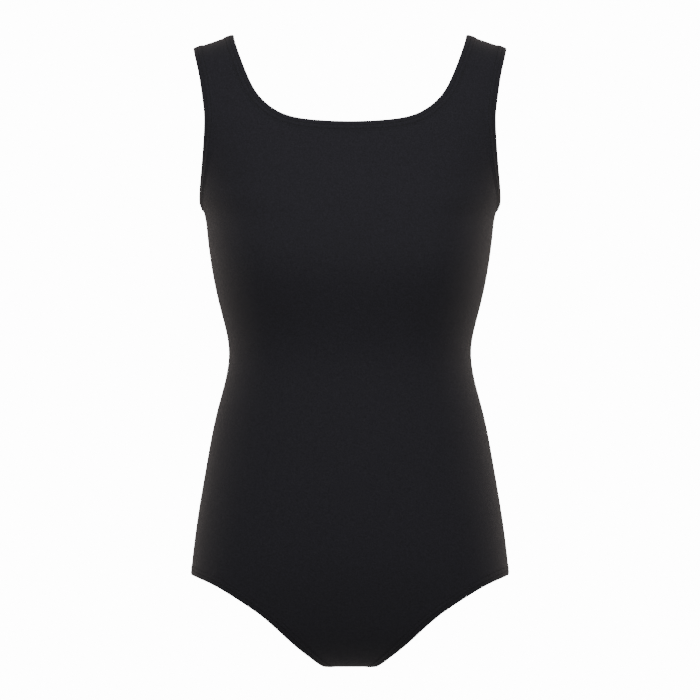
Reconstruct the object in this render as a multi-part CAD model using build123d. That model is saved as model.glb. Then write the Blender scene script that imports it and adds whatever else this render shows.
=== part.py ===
"""Sleeveless scoop-neck gymnastics leotard, filled out as a body fills it.

Frame, in millimetres: the origin is on the garment's centre plane, level with the tops of the
shoulder straps and on the line of the shoulder seams. +Z is up, -Y is the front and +X is the
wearer's left. A "fall" is a distance straight down from the shoulder line, so it is -Z.

The knitted fabric follows one smooth body form. Every cross-section of the form is a flattened
ellipse, given by its half width, its front and back depth and a fullness that squares it off.
"""

from build123d import *
import math
import os
import numpy as np

# --- Driving dimensions ---------------------------------------------------------------------
HEIGHT = 632.0  # shoulder line to the underside of the crotch
FABRIC = 0.8  # thickness of the knitted fabric
PLY_GAP = 0.1  # air between two plies
ELASTIC = 0.8  # thickness of the elastic inside a hem
ELASTIC_WIDTH = 6.5
HEM_WIDTH = 9.0  # width of a turned hem
LINING = 0.6  # thickness of the gusset lining
LINING_TOP_FALL = 585.0  # where the lining stops, front and back
SEAM_WIDTH = 6.0  # width of an overlocked seam allowance
SEAM_THICKNESS = 1.5

# Shoulder slope: how the shoulder line falls from the neck edge to the arm edge of a strap.
STRAP_INNER = 118.0
STRAP_MIDDLE = 136.0
SHOULDER_SLOPE = 0.44
SLOPE_FADES_AT = 110.0  # fall at which the slope has died out

# Body form: fall, half width, front depth, back depth, front fullness, back fullness.
FORM = (
    (0.0, 212.0, 0.0, 0.0, 0.6, 0.6),
    (14.0, 208.0, 38.0, 36.0, 0.7, 0.7),
    (45.0, 197.0, 57.0, 61.0, 0.8, 0.8),
    (86.0, 181.0, 73.0, 80.0, 0.9, 0.9),
    (125.0, 166.5, 85.0, 90.0, 0.9, 0.9),
    (150.0, 156.6, 93.0, 93.5, 0.9, 0.8),
    (165.0, 151.6, 97.5, 94.0, 1.0, 0.8),
    (180.0, 145.4, 101.5, 94.0, 1.0, 0.7),
    (200.0, 142.4, 105.5, 92.0, 1.1, 0.6),
    (230.0, 138.8, 108.0, 87.0, 1.1, 0.6),
    (275.0, 129.4, 97.0, 76.0, 0.8, 0.6),
    (315.0, 121.3, 86.0, 69.0, 0.6, 0.6),
    (375.0, 132.6, 87.0, 82.0, 0.5, 0.7),
    (430.0, 143.6, 91.0, 104.0, 0.5, 0.9),
    (480.0, 152.0, 91.0, 117.0, 0.6, 1.0),
    (537.0, 159.0, 84.0, 116.0, 0.7, 1.0),
    (575.0, 162.0, 70.0, 98.0, 0.8, 0.9),
    (605.0, 164.0, 52.0, 70.0, 0.8, 0.8),
    (622.0, 165.0, 32.0, 42.0, 0.8, 0.8),
    (HEIGHT, 165.0, 0.0, 0.0, 0.8, 0.8),
)

# Edges of the openings as seen from the front: distance from the centre plane and fall. Each
# line runs on past the form at its outer ends, so that it crosses the form's outline.
NECK_FRONT = (
    (120.5, -14), (117.4, 0), (113, 15), (101.4, 45),
    (87.6, 66.3), (65, 81.4), (34, 87.2), (0, 88.6),
)
NECK_BACK = (
    (120.5, -14), (117.4, 0), (115.4, 25), (110.8, 70),
    (98.8, 112), (74.5, 143.5), (40, 160.5), (0, 166),
)
ARM_FRONT = (
    (159, 0), (153.4, 25), (149.2, 45), (145.7, 70),
    (144.6, 90), (146.8, 125), (149.7, 155), (150.4, 172),
)
ARM_BACK = (
    (159, 0), (153.4, 25), (148.7, 45), (144.2, 70),
    (142.8, 90), (145.2, 125), (149, 155), (150.4, 172),
)
LEG_FRONT = (
    (185, 528), (158.5, 538.9), (136, 548.1), (110, 563.3), (82, 582.9),
    (60, 602.8), (42, 619.3), (33, 626.9), (25, 632.4), (10, 641),
)
LEG_BACK = (
    (185, 528), (158.5, 538.9), (136, 550.5), (110, 568.3), (82, 589.8),
    (60, 609.1), (42, 622.8), (33, 628.2), (25, 632.4), (10, 640),
)

# Labels, left blank: a size tab at the back neck and a care label in the wearer's left side seam.
LABEL_THICKNESS = 0.3
SIZE_LABEL = (26.0, 18.0)  # width along its sewn edge, free length
SIZE_LABEL_FALL = 170.0  # of its sewn edge, on the back neck's hem
SIZE_LABEL_DEPTH = 3.4  # of its sewn edge under the outer surface
SIZE_LABEL_LEAN = 1.5  # degrees off the back's own slope
CARE_LABEL = (30.0, 42.0)
CARE_LABEL_FALL = 318.0  # its middle, at the waist
CARE_LABEL_DEPTH = 3.6
CARE_LABEL_LEAN = 21.0  # degrees off the side's tangent, so that its tip clears the curved back

FRONT, BACK = -1, 1
AROUND, DOWN = 41, 97  # points of half the form across and down
FIT = 0.02  # how closely a skin follows the form
LOOP_POINTS = 80  # points along an opening's edge
CUT_WIDTH, CUT_OUTSIDE, CUT_INSIDE = 6.0, 2.0, 4.0  # the groove that parts the fabric at an edge
REACH = 300.0  # further than any part of the form

# Seams on the centre plane, as opposite corners (x, z) of the room each may take.
CROTCH_SEAM = ((-16.0, -HEIGHT), (16.0, 50.0 - HEIGHT))
SIDE_SEAM = ((90.0, -529.5), (REACH, -178.5))
SHOULDER_SEAM = ((127.0, -30.0), (146.2, 0.0))


def smooth_curve(knots, values):
    """The natural cubic spline through the values, straight beyond its ends."""
    knots, values = np.array(knots, float), np.array(values, float)
    step = np.diff(knots)
    slope = np.diff(values, axis=0) / step.reshape(-1, *[1] * (values.ndim - 1))
    size = len(knots)
    system, right = np.eye(size), np.zeros_like(values)
    for i in range(1, size - 1):
        system[i, i - 1 : i + 2] = step[i - 1], 2 * (step[i - 1] + step[i]), step[i]
        right[i] = 6 * (slope[i] - slope[i - 1])
    bend = np.linalg.solve(system, right)

    def at(t):
        t = np.asarray(t, float)
        held = np.clip(t, knots[0], knots[-1])
        i = np.clip(np.searchsorted(knots, held, side="right") - 1, 0, size - 2)
        widen = (..., *[None] * (values.ndim - 1))
        h, u = step[i][widen], (held - knots[i])[widen]
        tangent = slope[i] - h * (2 * bend[i] + bend[i + 1]) / 6
        inside = values[i] + u * (tangent + u * (bend[i] / 2 + u * (bend[i + 1] - bend[i]) / (6 * h)))
        end_slope = tangent + u * (bend[i] + u * (bend[i + 1] - bend[i]) / (2 * h))
        return inside + (t - held)[widen] * end_slope

    return at


COLUMNS = list(zip(*FORM))
half_width = smooth_curve(COLUMNS[0], COLUMNS[1])
depth_squared = {
    FRONT: smooth_curve(COLUMNS[0], np.square(COLUMNS[2])),
    BACK: smooth_curve(COLUMNS[0], np.square(COLUMNS[3])),
}
fullness = {FRONT: smooth_curve(COLUMNS[0], COLUMNS[4]), BACK: smooth_curve(COLUMNS[0], COLUMNS[5])}


def shoulder_fall(x, fall):
    """How much the sloping shoulder lowers the form at x, fading out down the chest."""
    slope = SHOULDER_SLOPE * (x**2 - STRAP_INNER**2) / (2 * STRAP_MIDDLE)
    return slope * np.clip(1 - fall / SLOPE_FADES_AT, 0, None) ** 2


def depth_there(x, z, side):
    """The form's depth squared at x and z: negative outside its outline."""
    level = -z - shoulder_fall(x, -z)
    s2 = (x / half_width(level)) ** 2
    return depth_squared[side](level) * (1 - s2) * (1 + fullness[side](level) * s2)


def inside_by(points, side):
    """Positive inside the form, zero on its surface."""
    return depth_there(points[..., 0], points[..., 2], side) - points[..., 1] ** 2


def inward(points, side):
    """(value of inside_by, its gradient) at each point."""
    nudge = 1e-3
    gradient = np.stack(
        [
            (inside_by(points + step, side) - inside_by(points - step, side)) / (2 * nudge)
            for step in nudge * np.eye(3)
        ],
        axis=-1,
    )
    return inside_by(points, side), gradient


def unit(vectors):
    return vectors / np.maximum(np.linalg.norm(vectors, axis=-1, keepdims=True), 1e-9)


def sides_of(points):
    return np.where(points[..., 1] < 0, FRONT, BACK)


def by_side(function, points):
    """function(points, side) for each point, with the side that it lies on."""
    front, back = function(points, FRONT), function(points, BACK)
    choose = sides_of(points) == FRONT
    picked = []
    for in_front, behind in zip(front, back):
        widened = choose.reshape(choose.shape + (1,) * (in_front.ndim - choose.ndim))
        picked.append(np.where(widened, in_front, behind))
    return picked


def onto_surface(points):
    """Moves points square onto the form's surface."""
    for _ in range(4):
        value, gradient = by_side(inward, points)
        points = points - gradient * (value / np.maximum((gradient**2).sum(-1), 1e-9))[..., None]
    return points


def sunk(points, depth):
    """Points on the surface, moved a depth inward along its normal."""
    return points + depth * unit(by_side(inward, points)[1])


# --- The fabric's plies ---------------------------------------------------------------------
def half_skin(side, depth):
    """The front or back half of the form's surface, sunk by a depth."""
    levels = HEIGHT * (1 - np.cos(np.linspace(0, math.pi, DOWN))) / 2
    turn = np.linspace(-math.pi / 2, math.pi / 2, AROUND)
    level, turn = np.meshgrid(levels, turn, indexing="ij")
    x = half_width(level) * np.sin(turn)
    fall = level.copy()
    for _ in range(30):
        fall = level + shoulder_fall(x, fall)
    y = side * np.sqrt(np.clip(depth_squared[side](level), 0, None)) * np.cos(turn)
    y = y * np.sqrt(1 + fullness[side](level) * np.sin(turn) ** 2)
    points = np.stack([x, y, -fall], axis=-1)
    gradient = unit(inward(points, side)[1])
    gradient[0], gradient[-1] = (0, 0, -1), (0, 0, 1)
    points = points + depth * unit(gradient)
    points[[0, -1], :, 1] = 0
    points[:, [0, -1], 1] = 0
    return Face.make_surface_from_array_of_points(points.tolist(), tol=FIT, min_deg=3, max_deg=5)


def ply(side, depth, thickness):
    """A sheet of fabric over half the form: two skins joined by a flat rim at y = 0."""
    outer, inner = half_skin(side, depth), half_skin(side, depth + thickness)
    rim = Face(Wire(outer.edges()), [Wire(inner.edges())])
    return Solid(Shell([outer, inner, rim]))


# --- Edges of the openings ------------------------------------------------------------------
def on_form(outline, side):
    """An outline seen from the front, laid on the form, as a dense line of points."""
    knots = np.linspace(0, 1, len(outline))
    outline = smooth_curve(knots, outline)
    run = np.linspace(0, 1, 4001)
    x, fall = outline(run).T
    inside = depth_there(x, -fall, side) > 0
    first, last = run[inside][[0, -1]]
    # The ends meet the centre plane squarely, so the points crowd towards them.
    middle, reach = (first + last) / 2, (last - first) / 2
    x, fall = outline(middle - reach * np.cos(np.linspace(0, math.pi, 2001))).T
    y = side * np.sqrt(np.clip(depth_there(x, -fall, side), 0, None))
    y[[0, -1]] = 0
    return np.stack([x, y, -fall], axis=-1)


def closed_loop(front, back):
    """The edge of an opening as a closed loop of evenly spaced points on the form."""
    line = np.concatenate([on_form(front, FRONT), on_form(back, BACK)[::-1]])
    line = np.concatenate([line, line[:1]])
    length = np.concatenate([[0], np.cumsum(np.linalg.norm(np.diff(line, axis=0), axis=1))])
    even = np.linspace(0, length[-1], LOOP_POINTS, endpoint=False)
    loop = np.stack([np.interp(even, length, line[:, i]) for i in range(3)], axis=-1)
    return onto_surface(loop)


def mirrored_outline(points):
    return [*points, *[(-x, fall) for x, fall in reversed(points[:-1])]]


def rail(loop, distance, depth):
    """The closed spline at a distance into the fabric from an opening's edge, at a depth."""
    along = unit(np.roll(loop, -1, axis=0) - np.roll(loop, 1, axis=0))
    across = np.cross(along, unit(by_side(inward, loop)[1]))
    if (across * (loop - loop.mean(axis=0))).sum() < 0:
        across = -across
    points = sunk(onto_surface(loop + distance * unit(across)), depth)
    return Spline(*map(tuple, points), periodic=True)


def band(loop, section):
    """A closed band along an opening's edge. Its section is a polygon of (distance, depth)."""
    rails = [rail(loop, distance, depth) for distance, depth in section]
    walls = [Face.make_surface_from_curves(a, b) for a, b in zip(rails, rails[1:] + rails[:1])]
    return Solid(Shell(walls))


def strip(start, end, top, bottom):
    """The four corners of a band's section, from its distances and depths."""
    return [(start, top), (end, top), (end, bottom), (start, bottom)]


def edge_loops():
    """The opening edges by name, the left ones at +X."""
    loops = {"neckline": closed_loop(mirrored_outline(NECK_FRONT), mirrored_outline(NECK_BACK))}
    for name, front, back in (("armhole", ARM_FRONT, ARM_BACK), ("leg", LEG_FRONT, LEG_BACK)):
        left = closed_loop(front, back)
        loops[f"left_{name}"] = left
        loops[f"right_{name}"] = left * (-1, 1, 1)
    return loops


# --- Sub-parts ------------------------------------------------------------------------------
def cut_out(fabric, loop, margin=0.0):
    """The fabric without what lies in an opening, and without a margin along its edge."""
    groove = band(loop, strip(-CUT_WIDTH, margin, -CUT_OUTSIDE, CUT_INSIDE))
    return max((fabric - groove).solids(), key=lambda piece: piece.volume)


def panel(side, loops):
    fabric = ply(side, 0, FABRIC)
    for loop in loops.values():
        fabric = cut_out(fabric, loop)
    return fabric


def elastic(loop):
    top = FABRIC + PLY_GAP
    start = 2 * PLY_GAP
    return band(loop, strip(start, start + ELASTIC_WIDTH, top, top + ELASTIC))


def turned_hem(loop):
    """The fabric folded round an edge and down over the elastic."""
    inner = FABRIC + ELASTIC + 2 * PLY_GAP
    back = inner + FABRIC
    nearly = 0.12 * back
    round_edge = [(0, 0), (-0.6, nearly), (-1, back / 2), (-0.6, back - nearly), (0, back)]
    fold = [(distance * FABRIC - PLY_GAP, depth) for distance, depth in round_edge]
    return band(loop, fold + [(HEM_WIDTH, back), (HEM_WIDTH, inner), (-PLY_GAP, inner)])


def seam(low, high, top=FABRIC + PLY_GAP):
    """A seam allowance pressed to the back along the centre plane, between two corners."""
    corner = (low[0], PLY_GAP / 2, low[1])
    size = (high[0] - low[0], SEAM_WIDTH, high[1] - low[1])
    room = Pos(*corner) * Box(*size, align=(Align.MIN, Align.MIN, Align.MIN))
    return (ply(BACK, top, SEAM_THICKNESS) & room).solid()


def gusset_lining(loops):
    """The lining between the leg hems, its front and back halves joined at the crotch."""
    hung = (Align.CENTER, Align.CENTER, Align.MAX)
    below = Pos(0, 0, -LINING_TOP_FALL) * Box(2 * REACH, 2 * REACH, REACH, align=hung)
    halves = []
    for side in (FRONT, BACK):
        half = ply(side, FABRIC + PLY_GAP, LINING)
        for name in ("left_leg", "right_leg"):
            half = cut_out(half, loops[name], margin=HEM_WIDTH + 4 * PLY_GAP)
        halves.append((half & below).solid())
    return (halves[0] + halves[1]).solid()


def label(size, root, along, out):
    """A flat tab from its sewn edge: along is the edge's direction, out is where the tab points."""
    along, out = Vector(*along), Vector(*out)
    place = Plane(origin=tuple(root), x_dir=along, z_dir=along.cross(out))
    return place * Box(size[0], size[1], LABEL_THICKNESS, align=(Align.CENTER, Align.MIN, Align.CENTER))


def size_label():
    falls = (SIZE_LABEL_FALL, SIZE_LABEL_FALL + SIZE_LABEL[1])
    level = np.array([[0, math.sqrt(depth_there(0.0, -fall, BACK)), -fall] for fall in falls])
    root, tip = sunk(onto_surface(level), SIZE_LABEL_DEPTH)
    down = Vector(*unit(tip - root)).rotate(Axis.X, -SIZE_LABEL_LEAN)
    print("size label's sewn edge", root)
    return label(SIZE_LABEL, root, (1, 0, 0), tuple(down))


def care_label():
    side = onto_surface(np.array([[half_width(CARE_LABEL_FALL), 0.0, -CARE_LABEL_FALL]]))
    root = sunk(side, CARE_LABEL_DEPTH)[0]
    lean = math.radians(CARE_LABEL_LEAN)
    print("care label's sewn edge", root)
    return label(CARE_LABEL, root, (0, 0, 1), (-math.sin(lean), math.cos(lean), 0))


def all_parts():
    loops = edge_loops()
    parts = {
        "front_panel": panel(FRONT, loops),
        "back_panel": panel(BACK, loops),
        "gusset_lining": gusset_lining(loops),
        "crotch_seam": seam(*CROTCH_SEAM, top=FABRIC + LINING + 2 * PLY_GAP),
    }
    for name, loop in loops.items():
        parts[f"{name}_elastic"] = elastic(loop)
        parts[f"{name}_hem"] = turned_hem(loop)
    for name, (low, high) in {"side_seam": SIDE_SEAM, "shoulder_seam": SHOULDER_SEAM}.items():
        parts[f"left_{name}"] = seam(low, high)
        parts[f"right_{name}"] = mirror(parts[f"left_{name}"], Plane.YZ)
    parts["size_label"] = size_label()
    parts["care_label"] = care_label()
    return parts


def main():
    os.makedirs("parts", exist_ok=True)
    for name, shape in all_parts().items():
        shape.label = name
        export_step(shape, f"parts/{name}.step")


main()
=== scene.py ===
"""The looks of a sleeveless gymnastics leotard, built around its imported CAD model.

Lengths on the garment are in millimetres, in the frame of the CAD model: the origin is on the
shoulder line, +Z is up, -Y is the front and +X is the wearer's left. A "fall" is a distance down
from the shoulder line. A place on the fabric near an opening is given by its distance from the
opening's edge and its depth under the outer surface. Meshes are made in metres.
"""

import math

import bmesh
import bpy
import numpy as np
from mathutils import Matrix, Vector
from mathutils.geometry import delaunay_2d_cdt


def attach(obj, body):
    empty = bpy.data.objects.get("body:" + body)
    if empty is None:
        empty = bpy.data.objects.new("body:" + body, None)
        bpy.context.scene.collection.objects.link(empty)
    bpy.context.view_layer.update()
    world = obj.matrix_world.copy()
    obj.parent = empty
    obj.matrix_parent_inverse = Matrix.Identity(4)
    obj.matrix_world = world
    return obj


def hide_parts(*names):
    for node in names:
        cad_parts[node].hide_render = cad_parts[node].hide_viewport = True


MM = 0.001
FRONT, BACK = -1, 1

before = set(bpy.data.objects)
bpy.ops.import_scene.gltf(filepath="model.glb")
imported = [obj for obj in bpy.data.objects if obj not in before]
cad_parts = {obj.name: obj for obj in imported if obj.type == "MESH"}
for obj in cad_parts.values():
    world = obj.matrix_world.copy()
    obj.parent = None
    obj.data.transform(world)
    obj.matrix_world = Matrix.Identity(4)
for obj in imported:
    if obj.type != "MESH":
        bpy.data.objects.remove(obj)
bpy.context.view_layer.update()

# --- Sizes, as in the CAD model -------------------------------------------------------------
HEIGHT = 632.0
FABRIC = 0.8
STRAP_INNER = 118.0
STRAP_MIDDLE = 136.0
SHOULDER_SLOPE = 0.44
SLOPE_FADES_AT = 110.0

# Body form: fall, half width, front depth, back depth, front fullness, back fullness.
FORM = (
    (0.0, 212.0, 0.0, 0.0, 0.6, 0.6),
    (14.0, 208.0, 38.0, 36.0, 0.7, 0.7),
    (45.0, 197.0, 57.0, 61.0, 0.8, 0.8),
    (86.0, 181.0, 73.0, 80.0, 0.9, 0.9),
    (125.0, 166.5, 85.0, 90.0, 0.9, 0.9),
    (150.0, 156.6, 93.0, 93.5, 0.9, 0.8),
    (165.0, 151.6, 97.5, 94.0, 1.0, 0.8),
    (180.0, 145.4, 101.5, 94.0, 1.0, 0.7),
    (200.0, 142.4, 105.5, 92.0, 1.1, 0.6),
    (230.0, 138.8, 108.0, 87.0, 1.1, 0.6),
    (275.0, 129.4, 97.0, 76.0, 0.8, 0.6),
    (315.0, 121.3, 86.0, 69.0, 0.6, 0.6),
    (375.0, 132.6, 87.0, 82.0, 0.5, 0.7),
    (430.0, 143.6, 91.0, 104.0, 0.5, 0.9),
    (480.0, 152.0, 91.0, 117.0, 0.6, 1.0),
    (537.0, 159.0, 84.0, 116.0, 0.7, 1.0),
    (575.0, 162.0, 70.0, 98.0, 0.8, 0.9),
    (605.0, 164.0, 52.0, 70.0, 0.8, 0.8),
    (622.0, 165.0, 32.0, 42.0, 0.8, 0.8),
    (HEIGHT, 165.0, 0.0, 0.0, 0.8, 0.8),
)

# Edges of the openings seen from the front: distance from the centre plane and fall.
NECK_FRONT = (
    (120.5, -14), (117.4, 0), (113, 15), (101.4, 45),
    (87.6, 66.3), (65, 81.4), (34, 87.2), (0, 88.6),
)
NECK_BACK = (
    (120.5, -14), (117.4, 0), (115.4, 25), (110.8, 70),
    (98.8, 112), (74.5, 143.5), (40, 160.5), (0, 166),
)
ARM_FRONT = (
    (159, 0), (153.4, 25), (149.2, 45), (145.7, 70),
    (144.6, 90), (146.8, 125), (149.7, 155), (150.4, 172),
)
ARM_BACK = (
    (159, 0), (153.4, 25), (148.7, 45), (144.2, 70),
    (142.8, 90), (145.2, 125), (149, 155), (150.4, 172),
)
LEG_FRONT = (
    (185, 528), (158.5, 538.9), (136, 548.1), (110, 563.3), (82, 582.9),
    (60, 602.8), (42, 619.3), (33, 626.9), (25, 632.4), (10, 641),
)
LEG_BACK = (
    (185, 528), (158.5, 538.9), (136, 550.5), (110, 568.3), (82, 589.8),
    (60, 609.1), (42, 622.8), (33, 628.2), (25, 632.4), (10, 640),
)

# --- How finely lines are followed ----------------------------------------------------------
LINE_POINTS = 4001  # along a curve before it is spaced out
EDGE_POINTS = 3001  # along an opening's edge
SETTLING_STEPS = 30  # of the shoulder's slope
SURFACE_STEPS = 4  # in moving a point onto the form

# --- Sizes of the visible detail ------------------------------------------------------------
STITCH = 2.5  # length of a coverstitch
STITCH_ROWS = {"neckline": (3.8, 7.8), "armhole": (3.8, 7.8), "leg": (4.3, 8.4)}  # from the edge
HEM_WIDTH = 9.0
ELASTIC_ROOM = (0.25, 6.65, 0.95, 1.65)  # distances from the edge, and depths, of the elastic
HEM_RISE = {"neckline": 0.7, "armhole": 0.7, "leg": 0.25}  # above the fabric beside it
HEM_FADE = (0.3, 2.2)  # past the second row of stitches, where the rise dies out
HEM_PILLOW = 0.16  # swell between the two rows
HEM_ROUNDING = (0.45, 0.9)  # depth and width of the rounding at the edge
GROOVE = 0.34  # depth that a row of stitches pulls into the hem
GROOVE_WIDTH = 0.42
THREAD = 0.2  # radius of a sewing thread
STRAP_ROUNDING = 1.1  # how far a strap's corners sink where it goes over the shoulder
STRAP_CORNER = (3.0, 2.0)  # width of that rounding, front to back and from the edge
INTERIOR = 11.5  # distance from an edge where the plain fabric begins
MESH_STEP = 4.0  # spacing of the fabric's points
SEAM_DIP = 0.55  # depth of the valley where two panels are sewn together
SEAM_DIP_WIDTH = 0.9
UNROLL = 130.0  # millimetres of pattern for a radian round the body
CLEAR_OF_HEM = 1.8  # nearest that a point of the plain grid comes to a hem

# A hem's section. Rows of points on the outer face, by distance from the edge:
HEM_OUTER = (INTERIOR, 10.7, 10.0, 5.9, 2.2, 1.4, 0.8, 0.35, 0.0)
BESIDE_STITCHES = (-0.75, -0.4, 0, 0.4, 0.75)
# the fold and its inner side, as distances and depths, and rows on the fabric's inner face.
HEM_FOLD = (
    (-0.4, 0.0), (-0.75, 0.5), (-0.9, 1.2), (-0.75, 1.9), (-0.4, 2.35), (0.1, 2.5),
    (0.6, 2.55), (0.6, 1.85), (0.2, 1.75), (-0.1, 1.3), (0.1, 0.75),
)
HEM_INNER = (0.8, 3.8, 5.9, 7.8, 9.5, INTERIOR)

# Lines of strain: distance from the centre plane and fall of both ends, height, width.
STRAIN = (
    (147, 172, 133, 222, 0.5, 4.5),
    (138, 176, 112, 232, 0.3, 7.0),
    (122, 318, 84, 306, 0.25, 6.0),
    (124, 334, 88, 348, 0.25, 6.0),
    (46, 612, 6, 572, 0.3, 7.0),
    (30, 620, 4, 598, 0.25, 5.0),
)
SEAM_THICKNESS = 1.5
OVERLOCK_PITCH = 1.8  # between the threads that wrap a seam allowance
PLY_GAP = 0.1
SEAM_STEP = 0.45  # between the points of a seam allowance
SIDE_SEAM_FALLS = (179.5, 528.5)
SHOULDER_SEAM_REACH = (127.5, 145.8)
CROTCH_SEAM_REACH = (-15.5, 15.6)
LINING = 0.6
LINING_TOP = 585.0  # fall at which the gusset lining stops

# Labels, as in the CAD model.
LABEL_THICKNESS = 0.3
SIZE_LABEL = (26.0, 18.0)
SIZE_LABEL_FALL = 170.0
SIZE_LABEL_DEPTH = 3.4
SIZE_LABEL_LEAN = 1.5
CARE_LABEL = (30.0, 42.0)
CARE_LABEL_FALL = 318.0
CARE_LABEL_DEPTH = 3.6
CARE_LABEL_LEAN = 21.0


# --- The body form --------------------------------------------------------------------------
def smooth_curve(knots, values):
    """The natural cubic spline through the values, straight beyond its ends."""
    knots, values = np.array(knots, float), np.array(values, float)
    step = np.diff(knots)
    slope = np.diff(values, axis=0) / step.reshape(-1, *[1] * (values.ndim - 1))
    size = len(knots)
    system, right = np.eye(size), np.zeros_like(values)
    for i in range(1, size - 1):
        system[i, i - 1 : i + 2] = step[i - 1], 2 * (step[i - 1] + step[i]), step[i]
        right[i] = 6 * (slope[i] - slope[i - 1])
    bend = np.linalg.solve(system, right)

    def at(t):
        t = np.asarray(t, float)
        held = np.clip(t, knots[0], knots[-1])
        i = np.clip(np.searchsorted(knots, held, side="right") - 1, 0, size - 2)
        widen = (..., *[None] * (values.ndim - 1))
        h, u = step[i][widen], (held - knots[i])[widen]
        tangent = slope[i] - h * (2 * bend[i] + bend[i + 1]) / 6
        curving = bend[i] / 2 + u * (bend[i + 1] - bend[i]) / (6 * h)
        inside = values[i] + u * (tangent + u * curving)
        end_slope = tangent + u * (bend[i] + u * (bend[i + 1] - bend[i]) / (2 * h))
        return inside + (t - held)[widen] * end_slope

    return at


COLUMNS = list(zip(*FORM))
half_width = smooth_curve(COLUMNS[0], COLUMNS[1])
depth_squared = {
    FRONT: smooth_curve(COLUMNS[0], np.square(COLUMNS[2])),
    BACK: smooth_curve(COLUMNS[0], np.square(COLUMNS[3])),
}
fullness = {FRONT: smooth_curve(COLUMNS[0], COLUMNS[4]), BACK: smooth_curve(COLUMNS[0], COLUMNS[5])}


def shoulder_fall(x, fall):
    """How much the sloping shoulder lowers the form at x, fading out down the chest."""
    slope = SHOULDER_SLOPE * (x**2 - STRAP_INNER**2) / (2 * STRAP_MIDDLE)
    return slope * np.clip(1 - fall / SLOPE_FADES_AT, 0, None) ** 2


def depth_there(x, z, side):
    """The form's depth squared at x and z: negative outside its outline."""
    level = -z - shoulder_fall(x, -z)
    s2 = (x / half_width(level)) ** 2
    return depth_squared[side](level) * (1 - s2) * (1 + fullness[side](level) * s2)


def inward(points, side):
    """How far inside the form each point is, as a value and its gradient."""

    def inside_by(p):
        return depth_there(p[..., 0], p[..., 2], side) - p[..., 1] ** 2

    nudge = 1e-3
    gradient = [
        (inside_by(points + d) - inside_by(points - d)) / (2 * nudge) for d in nudge * np.eye(3)
    ]
    return inside_by(points), np.stack(gradient, axis=-1)


def unit(vectors):
    return vectors / np.maximum(np.linalg.norm(vectors, axis=-1, keepdims=True), 1e-9)


def inward_by_side(points):
    front, back = inward(points, FRONT), inward(points, BACK)
    is_front = points[..., 1] < 0
    return np.where(is_front, front[0], back[0]), np.where(is_front[..., None], front[1], back[1])


def onto_surface(points):
    """Moves points square onto the form's surface."""
    for _ in range(SURFACE_STEPS):
        value, gradient = inward_by_side(points)
        points = points - gradient * (value / np.maximum((gradient**2).sum(-1), 1e-9))[..., None]
    return points


def sunk(points, depth):
    """Points on the surface, moved a depth inward along its normal."""
    return points + np.asarray(depth)[..., None] * unit(inward_by_side(points)[1])


def form_point(turn, along, side):
    """The surface point at a turn round the body and a fraction of the way from top to bottom."""
    level = HEIGHT * (1 - np.cos(math.pi * along)) / 2
    x = half_width(level) * np.sin(turn)
    fall = level
    for _ in range(SETTLING_STEPS):
        fall = level + shoulder_fall(x, fall)
    y = side * np.sqrt(np.clip(depth_squared[side](level), 0, None)) * np.cos(turn)
    return np.stack([x, y * np.sqrt(1 + fullness[side](level) * np.sin(turn) ** 2), -fall], axis=-1)


class Pattern:
    """Flat pattern coordinates of one side of the form: round the body, and down its centre."""

    def __init__(self, side):
        self.side = side
        self.along = np.linspace(0, 1, LINE_POINTS)
        centre = form_point(np.zeros(LINE_POINTS), self.along, side)
        steps = np.linalg.norm(np.diff(centre, axis=0), axis=1)
        self.down = np.concatenate([[0], np.cumsum(steps)])
        self.length = self.down[-1]

    def of(self, points):
        """Pattern coordinates of surface points."""
        x, y, fall = points[..., 0], points[..., 1], -points[..., 2]
        level = np.clip(fall - shoulder_fall(x, fall), 0, HEIGHT)
        s = np.clip(x / half_width(level), -1, 1)
        fuller = 1 + fullness[self.side](level) * s**2
        depth = np.sqrt(np.maximum(depth_squared[self.side](level) * fuller, 1e-12))
        # Close to the two ends of the form the depth vanishes, and the sine alone gives the turn.
        by_depth = np.arctan2(s, np.abs(y) / depth)
        turn = np.where(depth > 12, by_depth, np.arcsin(s))
        along = np.arccos(1 - 2 * level / HEIGHT) / math.pi
        return np.stack([turn * UNROLL, np.interp(along, self.along, self.down)], axis=-1)

    def point(self, turn, down):
        return form_point(turn, np.interp(down, self.down, self.along), self.side)


PATTERNS = {FRONT: Pattern(FRONT), BACK: Pattern(BACK)}


# --- Edges of the openings ------------------------------------------------------------------
def mirrored_outline(points):
    return [*points, *[(-x, fall) for x, fall in reversed(points[:-1])]]


def on_form(outline, side):
    """An outline seen from the front, laid on the form, as a dense line of points."""
    curve = smooth_curve(np.linspace(0, 1, len(outline)), outline)
    run = np.linspace(0, 1, LINE_POINTS)
    x, fall = curve(run).T
    first, last = run[depth_there(x, -fall, side) > 0][[0, -1]]
    # The ends meet the centre plane squarely, so the points crowd towards them.
    middle, reach = (first + last) / 2, (last - first) / 2
    x, fall = curve(middle - reach * np.cos(np.linspace(0, math.pi, EDGE_POINTS))).T
    y = side * np.sqrt(np.clip(depth_there(x, -fall, side), 0, None))
    y[[0, -1]] = 0
    return np.stack([x, y, -fall], axis=-1)


def evenly(line, count):
    """A number of evenly spaced points along a line, its ends among them."""
    length = np.concatenate([[0], np.cumsum(np.linalg.norm(np.diff(line, axis=0), axis=1))])
    even = np.linspace(0, length[-1], count)
    return np.stack([np.interp(even, length, line[:, i]) for i in range(3)], axis=-1)


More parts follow.
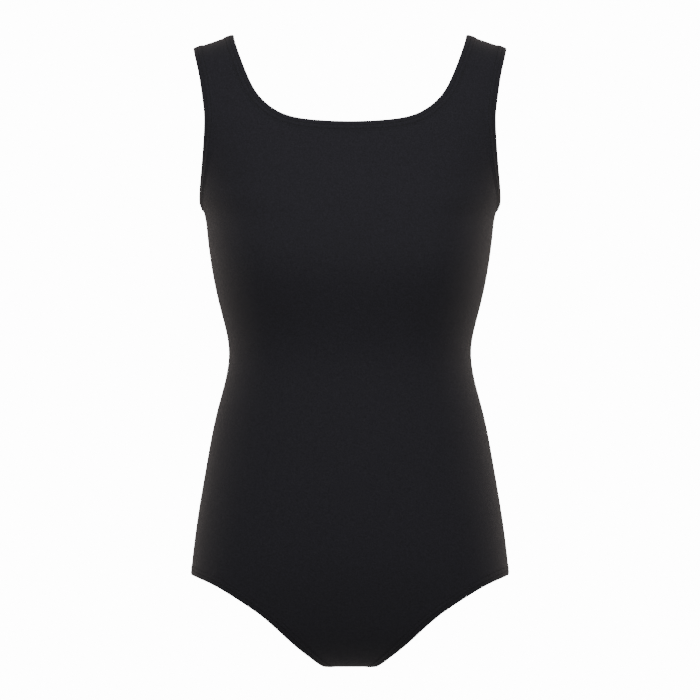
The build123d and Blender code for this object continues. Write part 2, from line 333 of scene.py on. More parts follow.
class Edge:
    """The closed edge of an opening, in columns: out over the front, back over the back."""

    def __init__(self, front, back, columns_per_stitch, mirrored=False):
        flip = np.array([-1 if mirrored else 1, 1, 1])
        lines = [on_form(front, FRONT) * flip, on_form(back, BACK) * flip]
        counts, halves = [], []
        for line in lines:
            length = np.linalg.norm(np.diff(line, axis=0), axis=1).sum()
            counts.append(columns_per_stitch * round(length / STITCH))
            halves.append(evenly(line, counts[-1] + 1))
        self.points = onto_surface(np.concatenate([halves[0], halves[1][-2:0:-1]]))
        self.points[[0, counts[0]], 1] = 0
        self.columns = len(self.points)
        self.front = np.arange(counts[0] + 1)
        self.back = np.concatenate([[0], np.arange(self.columns - 1, counts[0] - 1, -1)])
        self.stitch = np.arange(self.columns) / columns_per_stitch
        self.along = unit(np.roll(self.points, -1, axis=0) - np.roll(self.points, 1, axis=0))
        self.normal = unit(inward_by_side(self.points)[1])
        self.across = unit(np.cross(self.along, self.normal))
        if (self.across * (self.points - self.points.mean(axis=0))).sum() < 0:
            self.across = -self.across
        self.in_plane = [0, counts[0]]

    def half(self, side):
        """The columns that lie on one side, in the order of its outline."""
        return self.front if side == FRONT else self.back

    def at(self, distance, depth):
        """Points at a distance into the fabric and a depth under its outer surface."""
        distance = np.broadcast_to(distance, self.columns)
        base = onto_surface(self.points + distance[:, None] * self.across)
        strap_end = bump(base[:, 1], 0, STRAP_CORNER[0]) * bump(distance, 0, STRAP_CORNER[1])
        strap_end = strap_end * (base[:, 2] > -STRAP_INNER)
        points = sunk(base, depth + STRAP_ROUNDING * strap_end)
        points[self.in_plane, 1] = 0
        return points

    def pattern_at(self, distance):
        """Pattern coordinates at a distance into the fabric."""
        base = self.at(distance, 0.0)
        is_front = (base[:, 1] < 0)[:, None]
        return np.where(is_front, PATTERNS[FRONT].of(base), PATTERNS[BACK].of(base))


OPENINGS = {
    "neckline": (mirrored_outline(NECK_FRONT), mirrored_outline(NECK_BACK), False, "neckline"),
    "left_armhole": (ARM_FRONT, ARM_BACK, False, "armhole"),
    "right_armhole": (ARM_FRONT, ARM_BACK, True, "armhole"),
    "left_leg": (LEG_FRONT, LEG_BACK, False, "leg"),
    "right_leg": (LEG_FRONT, LEG_BACK, True, "leg"),
}


def edges(columns_per_stitch):
    return {
        name: Edge(front, back, columns_per_stitch, mirrored)
        for name, (front, back, mirrored, _) in OPENINGS.items()
    }


# --- Meshes ---------------------------------------------------------------------------------
class Cloth:
    """Points with pattern coordinates, and faces, gathered into one mesh."""

    def __init__(self):
        self.points, self.uvs, self.holes, self.faces, self.count = [], [], [], [], 0

    def add(self, points, uvs=None, hole=0.0):
        """Adds an array of points and returns their numbers in the same array shape."""
        shape = points.shape[:-1]
        flat = points.reshape(-1, 3)
        self.points.append(flat)
        # hole is painted shade: how much the colour darkens at the needle holes.
        self.holes.append(np.broadcast_to(hole, shape).ravel())
        self.uvs.append(np.zeros((len(flat), 2)) if uvs is None else uvs.reshape(-1, 2))
        numbers = np.arange(self.count, self.count + len(flat)).reshape(shape)
        self.count += len(flat)
        return numbers

    def quads(self, rows):
        """Faces between the rows and columns of a table of point numbers."""
        corners = [rows[:-1, :-1], rows[:-1, 1:], rows[1:, 1:], rows[1:, :-1]]
        self.faces.extend(map(tuple, np.stack(corners, axis=-1).reshape(-1, 4).tolist()))

    def slab(self, outer, inner, uvs=None):
        """A closed sheet between two grids of points."""
        top, bottom = self.add(outer, uvs), self.add(inner, uvs)
        self.quads(top)
        self.quads(bottom[::-1])
        rims = (
            (top[0], bottom[0]),
            (bottom[-1], top[-1]),
            (bottom[:, 0], top[:, 0]),
            (top[:, -1], bottom[:, -1]),
        )
        for a, b in rims:
            self.quads(np.stack([b, a]))

    def tube(self, centres, radius, side_a, side_b, sides=6, closed=False):
        """A round thread along a line of points."""
        angle = np.linspace(0, 2 * math.pi, sides, endpoint=False)
        radius = np.broadcast_to(radius, len(centres))[:, None, None]
        cosine, sine = np.cos(angle)[None, :, None], np.sin(angle)[None, :, None]
        ring = side_a[:, None] * cosine + side_b[:, None] * sine
        numbers = self.add(centres[:, None] + radius * ring)
        numbers = np.concatenate([numbers, numbers[:, :1]], axis=1)
        if closed:
            numbers = np.concatenate([numbers, numbers[:1]])
        else:
            self.faces.append(tuple(numbers[0, :-1].tolist()))
            self.faces.append(tuple(numbers[-1, -2::-1].tolist()))
        self.quads(numbers)

    def make(self, name, material):
        mesh = bpy.data.meshes.new(name)
        mesh.from_pydata((np.concatenate(self.points) * MM).tolist(), [], self.faces)
        uvs = np.concatenate(self.uvs)
        layer = mesh.uv_layers.new(name="pattern")
        corners = np.empty(len(mesh.loops), dtype=np.int32)
        mesh.loops.foreach_get("vertex_index", corners)
        layer.data.foreach_set("uv", uvs[corners].astype(np.float32).ravel())
        # Painted shade at the needle holes, as a point attribute that darkens the fabric's colour.
        hole = mesh.attributes.new("hole", "FLOAT", "POINT")
        hole.data.foreach_set("value", np.concatenate(self.holes).astype(np.float32))
        edit = bmesh.new()
        edit.from_mesh(mesh)
        bmesh.ops.recalc_face_normals(edit, faces=edit.faces)
        edit.to_mesh(mesh)
        edit.free()
        mesh.shade_smooth()
        mesh.set_sharp_from_angle(angle=math.radians(60))
        mesh.materials.append(material)
        piece = bpy.data.objects.new(name, mesh)
        bpy.context.scene.collection.objects.link(piece)
        return piece


def bump(distance, centre, width):
    return np.exp(-(((distance - centre) / width) ** 2))


def step(distance, start, end):
    """0 before start, 1 after end, smooth between."""
    t = np.clip((distance - start) / (end - start), 0, 1)
    return t * t * (3 - 2 * t)


def hem_face(distance, kind, stitch):
    """Depth of a hem's outer face: proud of the fabric, pulled in by each row of stitches."""
    low, high = STITCH_ROWS[kind]
    proud = HEM_RISE[kind] * (1 - step(distance, high + HEM_FADE[0], high + HEM_FADE[1]))
    pillow = HEM_PILLOW * np.sin(math.pi * np.clip((distance - low) / (high - low), 0, 1))
    near_edge = HEM_ROUNDING[0] * bump(distance, 0, HEM_ROUNDING[1])
    pull = GROOVE * (0.82 + 0.18 * np.cos(2 * math.pi * stitch))
    grooves = pull * (bump(distance, low, GROOVE_WIDTH) + bump(distance, high, GROOVE_WIDTH))
    return -(proud + pillow) + near_edge + grooves


def panel(side, name, material):
    """One panel as a closed sheet: plain fabric, and its hems folded round to the inside."""
    cloth = Cloth()
    pattern = PATTERNS[side]
    inner_rows, twin = {}, {}
    for opening, edge in edges(2).items():
        kind = OPENINGS[opening][3]
        rows = STITCH_ROWS[kind]
        columns = edge.half(side)
        near_rows = [row + d for row in rows for d in BESIDE_STITCHES]
        outer = sorted({*HEM_OUTER, *near_rows}, reverse=True)
        section = [(d, hem_face(d, kind, edge.stitch)) for d in outer]
        section += HEM_FOLD
        section += [(d, FABRIC + hem_face(d, kind, edge.stitch)) for d in HEM_INNER]
        numbers = []
        # Painted shade at the needle holes, strongest at each stitch's ends, on the stitch rows of
        # the outer face.
        needle_shade = 0.5 + 0.5 * np.cos(2 * math.pi * edge.stitch[columns])
        for place, (distance, depth) in enumerate(section):
            base = edge.at(distance, 0.0)[columns]
            hole = needle_shade * (distance in rows and place < len(outer))
            numbers.append(cloth.add(edge.at(distance, depth)[columns], pattern.of(base), hole))
        numbers = np.array(numbers)
        cloth.quads(numbers)
        for end in (0, -1):
            cloth.faces.append(tuple(numbers[:, end].tolist()))
        inner_rows[opening] = numbers[0]
        twin.update(zip(numbers[0].tolist(), numbers[-1].tolist()))
    fill_panel(cloth, pattern, inner_rows, twin)
    return cloth.make(name, material)


def fill_panel(cloth, pattern, inner_rows, twin):
    """The plain fabric inside the hems: a grid, joined to the hems by a ring of triangles."""
    seam_columns = np.array([0.0, 0.5, 1.1, 2.2]) / UNROLL
    around = np.linspace(-math.pi / 2, math.pi / 2, 97)[1:-1]
    ends = -math.pi / 2 + seam_columns, (math.pi / 2 - seam_columns)[::-1]
    turns = np.concatenate([ends[0], around, ends[1]])
    downs = np.linspace(0, pattern.length, round(pattern.length / MESH_STEP))[1:-1]
    seam_rows = seam_columns * UNROLL
    downs = np.concatenate([seam_rows, downs, (pattern.length - seam_rows)[::-1]])
    down, turn = np.meshgrid(downs, turns, indexing="ij")
    surface = pattern.point(turn, down)
    surface[[0, -1], :, 1] = 0
    surface[:, [0, -1], 1] = 0
    flat = np.stack([turn * UNROLL, down], axis=-1)

    points = np.concatenate(cloth.points)
    row_flat = {name: pattern.of(points[row]) for name, row in inner_rows.items()}
    for name in row_flat:
        # The ends of each row lie on a seam, which is a border of the pattern.
        for end in (0, -1):
            on_side = name.endswith("armhole") and end == -1 or name.endswith("leg") and end == 0
            if on_side:
                row_flat[name][end, 0] = math.copysign(math.pi / 2 * UNROLL, row_flat[name][end, 0])
            else:
                row_flat[name][end, 1] = pattern.length if name.endswith("leg") else 0.0

    hem_points = np.concatenate(list(row_flat.values()))
    grid_points = flat.reshape(-1, 2)
    nearest = [np.sqrt(((hem_points - p) ** 2).sum(-1).min()) for p in grid_points]
    nearest = np.array(nearest).reshape(turn.shape)
    clear = {tuple(p) for p in flat[nearest > CLEAR_OF_HEM]}

    # Walk round the region: openings' rows, and stretches of seam between them.
    top, bottom = flat[0, :, :], flat[-1, :, :]
    right, left = flat[:, 0, :], flat[:, -1, :]
    walk = [
        ("neckline", 1), (top, 0, -1), ("right_armhole", 1), (right, 1, 1), ("right_leg", 1),
        (bottom, 0, 1), ("left_leg", -1), (left, 1, -1), ("left_armhole", -1), (top, 0, -1),
    ]
    border, kinds = [], []
    for i, leg in enumerate(walk):
        if isinstance(leg[0], str):
            row = row_flat[leg[0]][:: leg[1]]
            numbers = inner_rows[leg[0]][:: leg[1]].tolist()
            border += list(zip(map(tuple, row), numbers))
            kinds += ["hem"] * (len(row) - 1) + ["seam"]
        else:
            line, axis, way = leg
            start = border[-1][0][axis]
            following = walk[(i + 1) % len(walk)]
            stop = row_flat[following[0]][:: following[1]][0][axis]
            low, high = sorted((start, stop))
            chosen = [p for p in line[::way] if low < p[axis] < high and tuple(p) in clear]
            border += [(tuple(p), None) for p in chosen]
            kinds += ["seam"] * len(chosen)
    polygon = np.array([p for p, _ in border])

    inside = in_polygon(grid_points * (0.99999, 1.0), polygon).reshape(turn.shape)
    inside[0] |= on_border(flat[0], polygon)
    inside[-1] |= on_border(flat[-1], polygon)
    inside[:, 0] |= on_border(flat[:, 0], polygon)
    inside[:, -1] |= on_border(flat[:, -1], polygon)
    kept = inside & (nearest > CLEAR_OF_HEM)
    cells = kept[:-1, :-1] & kept[1:, :-1] & kept[:-1, 1:] & kept[1:, 1:]

    # Points of the grid, outside and inside.
    dip = SEAM_DIP * bump(surface[..., 1], 0, SEAM_DIP_WIDTH) + wrinkles(surface)
    outer_points = sunk(surface, dip)
    inner_points = sunk(surface, dip + FABRIC)
    for grid in (outer_points, inner_points):
        grid[[0, -1], :, 1] = 0
        grid[:, [0, -1], 1] = 0
    outer = np.full(turn.shape, -1)
    inner = np.full(turn.shape, -1)
    outer[kept] = cloth.add(outer_points[kept], flat[kept])
    inner[kept] = cloth.add(inner_points[kept], flat[kept])
    twin.update(zip(outer[kept].tolist(), inner[kept].tolist()))
    for grid, way in ((outer, 1), (inner, -1)):
        corners = [grid[:-1, :-1], grid[:-1, 1:], grid[1:, 1:], grid[1:, :-1]][::way]
        cloth.faces.extend(map(tuple, np.stack(corners, axis=-1)[cells].tolist()))

    # The ring between the grid and the hems.
    known = {}
    for row in range(turn.shape[0]):
        for column in range(turn.shape[1]):
            if kept[row, column]:
                known[tuple(flat[row, column])] = outer[row, column]
    border_numbers = [n if n is not None else known[p] for p, n in border]
    full = np.zeros((turn.shape[0] + 1, turn.shape[1] + 1), bool)
    full[1:-1, 1:-1] = cells
    all_round = full[:-1, :-1] & full[1:, :-1] & full[:-1, 1:] & full[1:, 1:]
    beside = kept & ~all_round
    ring_numbers = list(border_numbers)
    ring_flat = [p for p, _ in border]
    place = {n: i for i, n in enumerate(ring_numbers)}
    for row, column in zip(*np.nonzero(beside)):
        number = int(outer[row, column])
        if number not in place:
            place[number] = len(ring_numbers)
            ring_numbers.append(number)
            ring_flat.append(tuple(flat[row, column]))
    lines = [(i, (i + 1) % len(border)) for i in range(len(border))]
    for row, column in zip(*np.nonzero(cells)):
        sides = (
            ((row, column), (row, column + 1), (row - 1, column)),
            ((row + 1, column), (row + 1, column + 1), (row + 1, column)),
            ((row, column), (row + 1, column), (row, column - 1)),
            ((row, column + 1), (row + 1, column + 1), (row, column + 1)),
        )
        for a, b, (r, c) in sides:
            if not (0 <= r < cells.shape[0] and 0 <= c < cells.shape[1] and cells[r, c]):
                lines.append((place[int(outer[a])], place[int(outer[b])]))
    made = delaunay_2d_cdt([Vector(p) for p in ring_flat], lines, [], 0, 1e-6, True)
    made_points, _, triangles, sources = made[:4]
    centres = np.array([np.mean([made_points[i] for i in t], axis=0) for t in triangles])
    row = np.clip(np.searchsorted(downs, centres[:, 1]) - 1, 0, cells.shape[0] - 1)
    column = np.clip(np.searchsorted(turns * UNROLL, centres[:, 0]) - 1, 0, cells.shape[1] - 1)
    wanted = in_polygon(centres, polygon) & ~cells[row, column]
    for triangle, want in zip(triangles, wanted):
        if want:
            numbers = [ring_numbers[sources[i][0]] for i in triangle]
            cloth.faces.append(tuple(numbers))
            cloth.faces.append(tuple(twin[n] for n in reversed(numbers)))

    # Close the sheet along the seams.
    for i, kind in enumerate(kinds):
        if kind == "seam":
            a, b = border_numbers[i], border_numbers[(i + 1) % len(border)]
            cloth.faces.append((a, b, twin[b], twin[a]))


def in_polygon(points, polygon):
    """Which points lie inside a closed polygon, by counting crossings."""
    inside = np.zeros(len(points), bool)
    start, end = polygon, np.roll(polygon, -1, axis=0)
    for (x1, y1), (x2, y2) in zip(start, end):
        if y1 != y2:
            crosses = (y1 > points[:, 1]) != (y2 > points[:, 1])
            inside ^= crosses & (points[:, 0] < (x2 - x1) * (points[:, 1] - y1) / (y2 - y1) + x1)
    return inside


def on_border(points, polygon):
    corners = {tuple(p) for p in polygon}
    return np.array([tuple(p) in corners for p in points])


def wrinkles(points):
    """Faint strain in the stretched fabric, as a depth: soft ridges along a few lines."""
    x, fall = np.abs(points[..., 0]), -points[..., 2]
    depth = np.zeros(points.shape[:-1])
    for x1, fall1, x2, fall2, height, width in STRAIN:
        length = math.hypot(x2 - x1, fall2 - fall1)
        along = ((x - x1) * (x2 - x1) + (fall - fall1) * (fall2 - fall1)) / length**2
        off = ((x - x1) * (fall2 - fall1) - (fall - fall1) * (x2 - x1)) / length
        depth -= height * bump(off, 0, width) * np.sin(math.pi * np.clip(along, 0, 1))
    return depth


# --- Pieces on the inside and the sewing ----------------------------------------------------
def hem_facing(name, edge, rows, material):
    """The turned-in part of a hem: a band inside, cut off beyond its second row of stitches."""
    low, high = rows
    cut = high + HEM_WIDTH - STITCH_ROWS["neckline"][1]
    hidden = [(0.8, 1.9), (low, 1.85), (high, 1.85), (cut - 0.2, 1.9)]
    cut_edge = [(cut, 2.05), (cut + 0.05, 2.3)]
    middle = (low + high) / 2
    shown = [(cut - 0.15, 2.48), (high + 0.6, 2.54), (high, 2.4), (high - 0.6, 2.6), (middle, 2.74)]
    shown += [(low + 0.6, 2.6), (low, 2.42), (low - 0.6, 2.58), (1.8, 2.64), (0.8, 2.56)]
    cloth = Cloth()
    section = hidden + cut_edge + shown
    numbers = np.array([cloth.add(edge.at(d, c), edge.pattern_at(d)) for d, c in section])
    cloth.quads(closed(numbers))
    return cloth.make(name, material)


def elastic_tape(name, edge, material):
    """Ribbed elastic inside a hem, as a closed band."""
    rib = 0.06
    distances = np.linspace(ELASTIC_ROOM[0], ELASTIC_ROOM[1], 15)
    ridge = np.where(np.arange(15) % 2, rib, 0)
    low, high = ELASTIC_ROOM[2:]
    section = [(d, low + r) for d, r in zip(distances, ridge)]
    section += [(d, high - r) for d, r in zip(distances[::-1], ridge[::-1])]
    cloth = Cloth()
    numbers = np.array([cloth.add(edge.at(d, c), edge.pattern_at(d)) for d, c in section])
    cloth.quads(closed(numbers))
    return cloth.make(name, material)


def closed(numbers):
    """A table of point numbers with its first row and column repeated at the end."""
    numbers = np.concatenate([numbers, numbers[:1]])
    return np.concatenate([numbers, numbers[:, :1]], axis=1)


def hem_threads(name, edge, kind, material):
    """Two rows of stitches outside, and the looper thread that crosses between them inside."""
    cloth = Cloth()
    lift = np.sqrt(np.abs(np.sin(math.pi * edge.stitch)))
    rows = STITCH_ROWS[kind]
    for row in rows:
        depth = hem_face(row, kind, edge.stitch) + 0.32 - 0.42 * lift
        centres = edge.at(row, depth)
        cloth.tube(centres, THREAD * (0.75 + 0.25 * lift), edge.across, edge.normal, closed=True)
    swing = 2 * np.abs(edge.stitch % 1 - 0.5)
    distance = rows[0] + (rows[1] - rows[0]) * swing
    cloth.tube(edge.at(distance, 2.82), THREAD, edge.along, edge.normal, sides=5, closed=True)
    return cloth.make(name, material)


def overlocked(name, line, top, material):
    """A seam allowance and its overlock threads, turned to the back from its seam line."""
    bottom = top + SEAM_THICKNESS
    middle = (top + bottom) / 2
    section = [(0.15, top), (3.0, top), (5.8, top), (6.2, top + 0.35), (6.35, middle)]
    section += [(6.2, bottom - 0.35), (5.7, bottom), (4.3, bottom), (3.0, bottom), (1.6, bottom)]
    section += [(0.4, bottom - 0.1), (0.1, middle)]
    reach = np.concatenate([[0], np.cumsum(np.linalg.norm(np.diff(line, axis=0), axis=1))])
    cloth = Cloth()
    rows = []
    for out, depth in section:
        wraps = reach / OVERLOCK_PITCH + out / 7.0
        ridge = 0.13 * np.cos(2 * math.pi * wraps) if depth > top else 0.0
        base = onto_surface(line + np.array([0, out, 0]))
        rows.append(cloth.add(sunk(base, depth + ridge + np.zeros(len(line)))))
    rows = np.array(rows)
    cloth.faces.append(tuple(rows[:, 0].tolist()))
    cloth.faces.append(tuple(rows[::-1, -1].tolist()))
    cloth.quads(np.concatenate([rows, rows[:1]]))
    return cloth.make(name, material)


def seam_lines():
    """Where the panels are sewn together: name, points of the seam, depth of the allowance."""
    under_fabric = FABRIC + PLY_GAP
    fall = np.arange(*SIDE_SEAM_FALLS, SEAM_STEP)
    side = np.stack([half_width(fall), np.zeros_like(fall), -fall], axis=-1)
    x = np.arange(*SHOULDER_SEAM_REACH, SEAM_STEP)
    ridge_fall = np.zeros_like(x)
    for _ in range(SETTLING_STEPS):
        ridge_fall = shoulder_fall(x, ridge_fall)
    shoulder = np.stack([x, np.zeros_like(x), -ridge_fall], axis=-1)
    x = np.arange(*CROTCH_SEAM_REACH, SEAM_STEP)
    crotch = np.stack([x, np.zeros_like(x), np.full_like(x, -HEIGHT)], axis=-1)
    mirrored = (-1, 1, 1)
    return (
        ("left_side_seam", side, under_fabric),
        ("right_side_seam", side * mirrored, under_fabric),
        ("left_shoulder_seam", shoulder, under_fabric),
        ("right_shoulder_seam", shoulder * mirrored, under_fabric),
        ("crotch_seam", crotch, under_fabric + LINING + PLY_GAP),
    )


def gusset_lining(name, edge, material):
    """The lining between the leg hems, from the front over the crotch to the back."""
    border = edge.at(HEM_WIDTH + 1.0, 0.0)
    border = border[-border[:, 2] > LINING_TOP]
    share = np.linspace(1, -1, 41)[None, :, None]
    mirrored = border * (-1, 1, 1)
    across = border[:, None] * (1 + share) / 2 + mirrored[:, None] * (1 - share) / 2
    base = onto_surface(onto_surface(across))
    seam = 0.35 * bump(base[..., 1], 0, 0.8)
    top = FABRIC + 0.12
    cloth = Cloth()
    uvs = np.stack([base[..., 0], base[..., 1]], axis=-1)
    cloth.slab(sunk(base, top + seam), sunk(base, top + LINING + seam), uvs)
    for row in (base[0], base[-1]):
        reach = np.linspace(0, 1, len(row) * 6)
        places = np.linspace(0, 1, len(row))
        line = np.stack([np.interp(reach, places, row[:, i]) for i in range(3)], axis=-1)
        line = onto_surface(line)
        wave = 0.12 * np.cos(math.pi * np.arange(len(line)))
        normal = unit(inward_by_side(line)[1])
        up = unit(np.cross(normal, (1.0, 0, 0)))
        cloth.tube(sunk(line, top + LINING / 2 + wave), 0.55, up, normal)
    return cloth.make(name, material)


def label(name, root, along, out, size, curl, material, thread):
    """A blank woven tab from its sewn edge, slightly curled, and the stitches that hold it."""
    along, out = np.array(along, float), np.array(out, float)
    face = np.cross(along, out)
    u, v = np.meshgrid(np.linspace(-0.5, 0.5, 27), np.linspace(0, 1, 25))
    bend = curl * v**2 * (1 - 0.3 * (2 * u) ** 2)
    side_edges = bump(np.abs(u) * size[0], size[0] / 2 - 0.8, 0.5)
    selvedge = 0.06 * (side_edges + bump(v * size[1], size[1] - 0.8, 0.5))
    flat = root + u[..., None] * size[0] * along + v[..., None] * size[1] * out
    half = LABEL_THICKNESS / 2 + selvedge
    cloth = Cloth()
    uvs = np.stack([u * size[0], v * size[1]], axis=-1)
    cloth.slab(flat + (bend + half)[..., None] * face, flat + (bend - half)[..., None] * face, uvs)
    piece = cloth.make(name, material)
    sewing = Cloth()
    run = np.linspace(-0.46, 0.46, 12 * 6 + 1)
    for way in (1, -1):
        lift = way * (0.1 + 0.2 * np.abs(np.sin(math.pi * np.arange(len(run)) / 6)))
        centres = root + run[:, None] * size[0] * along + 1.2 * out + lift[:, None] * face
        sides = [np.broadcast_to(way_out, centres.shape) for way_out in (out, face)]
        sewing.tube(centres, 0.15, *sides)
    return piece, sewing.make(name + "_stitches", thread)


def back_neck_label(material, thread):
    falls = (SIZE_LABEL_FALL, SIZE_LABEL_FALL + SIZE_LABEL[1])
    level = np.array([[0, math.sqrt(depth_there(0.0, -fall, BACK)), -fall] for fall in falls])
    root, tip = sunk(onto_surface(level), np.full(2, SIZE_LABEL_DEPTH))
    lean = math.radians(SIZE_LABEL_LEAN)
    _, y, z = unit(tip - root)
    down = (0, y * math.cos(lean) + z * math.sin(lean), z * math.cos(lean) - y * math.sin(lean))
    return label("size_label_tab", root, (1, 0, 0), down, SIZE_LABEL, -0.3, material, thread)


def side_label(material, thread):
    side = onto_surface(np.array([[float(half_width(CARE_LABEL_FALL)), 0.0, -CARE_LABEL_FALL]]))
    root = sunk(side, np.full(1, CARE_LABEL_DEPTH))[0]
    lean = math.radians(CARE_LABEL_LEAN)
    out = (-math.sin(lean), math.cos(lean), 0)
    return label("care_label_tab", root, (0, 0, 1), out, CARE_LABEL, 0.6, material, thread)


# --- Materials ------------------------------------------------------------------------------
class Paint:
    """A material made of nodes, with its Principled shader."""

    def __init__(self, name, **settings):
        self.material = bpy.data.materials.new(name)
        self.material.use_nodes = True
        self.tree = self.material.node_tree
        self.shader = self.tree.nodes["Principled BSDF"]
        for socket, value in settings.items():
            self.shader.inputs[socket.replace("_", " ")].default_value = value

    def node(self, kind, links=None, **settings):
        """A node with its settings, and its inputs set to values or linked to sockets."""
        made = self.tree.nodes.new(kind)
        for key, value in settings.items():
            setattr(made, key, value)
        for key, value in (links or {}).items():
            if isinstance(value, bpy.types.NodeSocket):
                self.tree.links.new(value, made.inputs[key])
            else:
                made.inputs[key].default_value = value
        return made

    def math(self, operation, *values):
        return self.node("ShaderNodeMath", dict(enumerate(values)), operation=operation).outputs[0]

    def link(self, output, socket):
        self.tree.links.new(output, self.shader.inputs[socket])

    def mottled(self, dark, light, size, detail=3.0):
        """A colour that wanders between two, with patches of a size in millimetres."""
        place = self.node("ShaderNodeTexCoord").outputs["Object"]
        inputs = {"Vector": place, "Scale": 1 / (size * MM), "Detail": detail}
        noise = self.node("ShaderNodeTexNoise", inputs)
        ramp = self.node("ShaderNodeValToRGB", {"Fac": noise.outputs["Fac"]})
        low, high = ramp.color_ramp.elements
        low.position, high.position = 0.3, 0.7
        low.color, high.color = (*dark, 1), (*light, 1)
        return ramp.outputs["Color"], noise.outputs["Fac"]

    def pattern(self):
        """The two pattern coordinates of a piece, in millimetres."""
        uv = self.node("ShaderNodeUVMap", uv_map="pattern").outputs["UV"]
        parts = self.node("ShaderNodeSeparateXYZ", {"Vector": uv})
        return parts.outputs["X"], parts.outputs["Y"]

    def relief(self, height, distance, strength=1.0):
        inputs = {"Height": height, "Distance": distance * MM, "Strength": strength}
        made = self.node("ShaderNodeBump", inputs)
        self.link(made.outputs["Normal"], "Normal")


def knitted(name, dark, light, wale=0.55, course=0.45, sheen=0.12, relief=0.05, tint=(1, 1, 1)):
    """Jersey: columns of small V-shaped stitches, in a slightly uneven dye."""
    paint = Paint(
        name,
        Roughness=0.9,
        Specular_IOR_Level=0.25,
        Sheen_Weight=sheen,
        Sheen_Roughness=0.38,
        Sheen_Tint=(*tint, 1),
    )
    colour, grain = paint.mottled(dark, light, 1.1)
    # Painted shade: the point attribute mixes the colour towards black at the needle holes.
    needle_shade = paint.node("ShaderNodeAttribute", attribute_name="hole").outputs["Fac"]
    hole_shaded = paint.node(
        "ShaderNodeMix",
        {"Factor": paint.math("MULTIPLY", needle_shade, 0.95), "A": colour, "B": (0, 0, 0, 1)},
        data_type="RGBA",
    )
    colour = hole_shaded.outputs["Result"]
    across, down = paint.pattern()
    column = paint.math("FRACT", paint.math("DIVIDE", across, wale))
    slant = paint.math("ABSOLUTE", paint.math("SUBTRACT", column, 0.5))
    rows = paint.math("DIVIDE", down, course)
    course_phase = paint.math("ADD", rows, paint.math("MULTIPLY", slant, 1.3))
    loops = paint.math("SINE", paint.math("MULTIPLY", course_phase, 2 * math.pi))
    ribs = paint.math("COSINE", paint.math("MULTIPLY", slant, 2 * math.pi))
    loops, ribs = paint.math("MULTIPLY", loops, 0.35), paint.math("MULTIPLY", ribs, -0.35)
    height = paint.math("ADD", loops, ribs)
    height = paint.math("ADD", height, paint.math("MULTIPLY", grain, 0.8))
    paint.link(colour, "Base Color")
    paint.relief(height, relief)
    return paint.material


def corded(name, dark, light, pitch=0.9, relief=0.1):
    """Thread or ribbed tape: fine ridges across the object's three directions."""
    paint = Paint(name, Roughness=0.75, Specular_IOR_Level=0.3)
    colour, grain = paint.mottled(dark, light, 0.8)
    place = paint.node("ShaderNodeTexCoord").outputs["Object"]
    wave = paint.node(
        "ShaderNodeTexWave",
        {"Vector": place, "Scale": 0.314 / (pitch * MM), "Distortion": 1.5},
        bands_direction="DIAGONAL",
    )
    paint.link(colour, "Base Color")
    height = paint.math("ADD", wave.outputs["Fac"], paint.math("MULTIPLY", grain, 0.5))
    paint.relief(height, relief)
    return paint.material


def satin(name):
    """White woven label tape, smoother along its warp."""
    paint = Paint(name, Roughness=0.42, Specular_IOR_Level=0.5, Sheen_Weight=0.2)
    colour, grain = paint.mottled((0.7, 0.7, 0.68), (0.8, 0.8, 0.78), 1.2)
    across, down = paint.pattern()
    warp = paint.math("SINE", paint.math("MULTIPLY", across, 2 * math.pi / 0.22))
    weft = paint.math("SINE", paint.math("MULTIPLY", down, 2 * math.pi / 0.35))
    paint.link(colour, "Base Color")
    paint.relief(paint.math("ADD", warp, paint.math("MULTIPLY", weft, 0.6)), 0.02)
    return paint.material


# --- The garment ----------------------------------------------------------------------------
def build():
    warm = (1.0, 0.86, 0.78)
    jersey = knitted("jersey", (0.0068, 0.0065, 0.0089), (0.0158, 0.0151, 0.0205), tint=warm)
    facing = knitted("hem_facing", (0.0072, 0.0069, 0.0094), (0.0165, 0.0158, 0.0214), tint=warm)
    dark, light = (0.014, 0.014, 0.015), (0.021, 0.021, 0.022)
    cotton = knitted("lining", dark, light, wale=0.8, course=0.7, relief=0.06)
    thread = corded("thread", (0.007, 0.007, 0.008), (0.011, 0.011, 0.012), pitch=0.3, relief=0.03)
    dark, light = (0.012, 0.012, 0.013), (0.020, 0.020, 0.021)
    overlock = corded("overlock", dark, light, pitch=0.5, relief=0.05)
    rubber = corded("elastic", (0.03, 0.03, 0.032), (0.05, 0.05, 0.053), pitch=0.9)
    satin_tape = satin("label_tape")

    def finish(piece, body, slot, *nodes):
        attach(piece, body)
        if nodes:
            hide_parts(*nodes)
        return piece

    front = finish(panel(FRONT, "front_panel_fabric", jersey), "garment", "jersey", "front_panel")
    back = finish(panel(BACK, "back_panel_fabric", jersey), "garment", "jersey", "back_panel")
    single, fine = edges(1), edges(6)
    for opening, (_, _, _, kind) in OPENINGS.items():
        band = hem_facing(opening + "_hem_facing", single[opening], STITCH_ROWS[kind], facing)
        finish(band, "garment", "jersey", opening + "_hem")
        threads = hem_threads(opening + "_coverstitch", fine[opening], kind, thread)
        finish(threads, "garment", "overlock")
        tape = elastic_tape(opening + "_elastic_tape", single[opening], rubber)
        finish(tape, "garment", "elastic", opening + "_elastic")
    for name, line, top in seam_lines():
        finish(overlocked(name + "_overlock", line, top, overlock), "garment", "overlock", name)
    inside = gusset_lining("gusset_lining_fabric", single["left_leg"], cotton)
    finish(inside, "garment", "lining", "gusset_lining")
    for body, (tab, sewing) in {
        "size_label": back_neck_label(satin_tape, thread),
        "care_label": side_label(satin_tape, thread),
    }.items():
        finish(tab, body, "label", body)
        finish(sewing, body, "overlock")


build()


# --- Stage, in metres -----------------------------------------------------------------------
FLOOR_RADIUS = 4.6
FLOOR_LEVEL = -0.9
FLOOR_GREY = (0.62, 0.62, 0.62, 1)
LIGHTING_STRENGTH = 0.35  # of the white surroundings, on the garment
BACKDROP_STRENGTH = 14  # of the same surroundings, as the camera sees them
KEY_POWER, RIM_POWER = 31, 12
CHEST = (0, 0, -0.25)


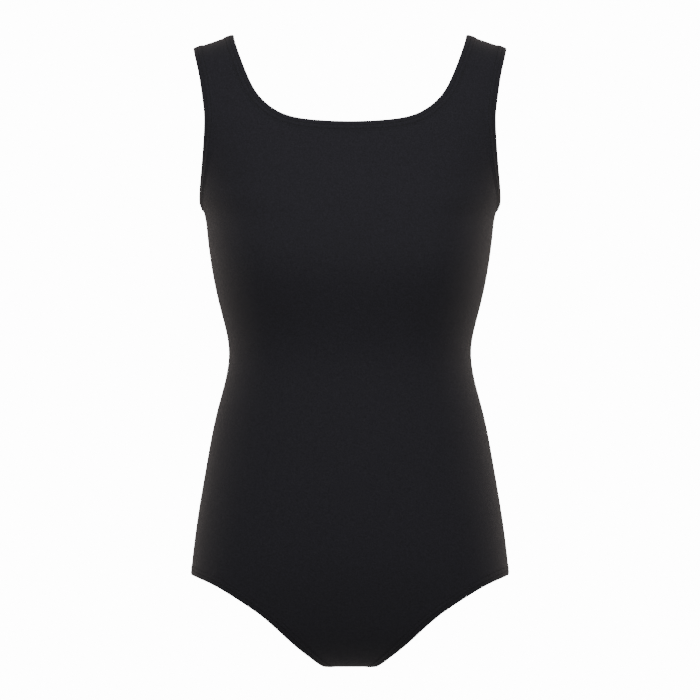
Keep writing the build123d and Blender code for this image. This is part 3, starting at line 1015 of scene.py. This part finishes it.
def stage():
    bpy.ops.mesh.primitive_circle_add(
        vertices=96, radius=FLOOR_RADIUS, fill_type="NGON", location=(0, 0, FLOOR_LEVEL)
    )
    floor = bpy.context.object
    floor.name = "floor"
    paint = bpy.data.materials.new("floor")
    paint.use_nodes = True
    shader = paint.node_tree.nodes["Principled BSDF"]
    shader.inputs["Base Color"].default_value = FLOOR_GREY
    floor.data.materials.append(paint)
    world = bpy.data.worlds.new("world")
    bpy.context.scene.world = world
    world.use_nodes = True
    tree = world.node_tree
    light = tree.nodes["Background"]
    light.inputs["Color"].default_value = (1, 1, 1, 1)
    light.inputs["Strength"].default_value = LIGHTING_STRENGTH
    seen = tree.nodes.new("ShaderNodeBackground")
    seen.inputs["Color"].default_value = (1, 1, 1, 1)
    seen.inputs["Strength"].default_value = BACKDROP_STRENGTH
    choose = tree.nodes.new("ShaderNodeMixShader")
    rays = tree.nodes.new("ShaderNodeLightPath")
    tree.links.new(rays.outputs["Is Camera Ray"], choose.inputs[0])
    tree.links.new(light.outputs[0], choose.inputs[1])
    tree.links.new(seen.outputs[0], choose.inputs[2])
    tree.links.new(choose.outputs[0], tree.nodes["World Output"].inputs["Surface"])
    softbox("key_softbox", (0.0, -1.4, 0.85), (1.8, 1.0), KEY_POWER, (1.0, 1.0, 1.0))
    for side in (-1, 1):
        place, colour = (1.7 * side, 0.9, -0.2), (1.0, 0.92, 0.86)
        softbox(f"rim_softbox_{side}", place, (0.6, 1.6), RIM_POWER, colour)


def softbox(name, place, size, power, colour):
    """A soft rectangular lamp that faces the middle of the chest."""
    data = bpy.data.lights.new(name, "AREA")
    data.shape = "RECTANGLE"
    data.size, data.size_y = size
    data.energy = power
    data.color = colour
    lamp = bpy.data.objects.new(name, data)
    lamp.location = place
    aim = Vector(CHEST) - Vector(place)
    lamp.rotation_euler = aim.to_track_quat("-Z", "Y").to_euler()
    bpy.context.scene.collection.objects.link(lamp)


CAMERA_DISTANCE = 8.0
CAMERA_LEVEL = -0.315
PICTURE_WIDTH = 0.7  # across the picture at the garment's sides


def camera():
    data = bpy.data.cameras.new("camera")
    data.sensor_width = 36
    data.lens = data.sensor_width * CAMERA_DISTANCE / PICTURE_WIDTH
    data.clip_end = 100
    view = bpy.data.objects.new("camera", data)
    view.location = (0, -CAMERA_DISTANCE, CAMERA_LEVEL)
    view.rotation_euler = (math.radians(90), 0, 0)
    bpy.context.scene.collection.objects.link(view)
    bpy.context.scene.camera = view


stage()
camera()
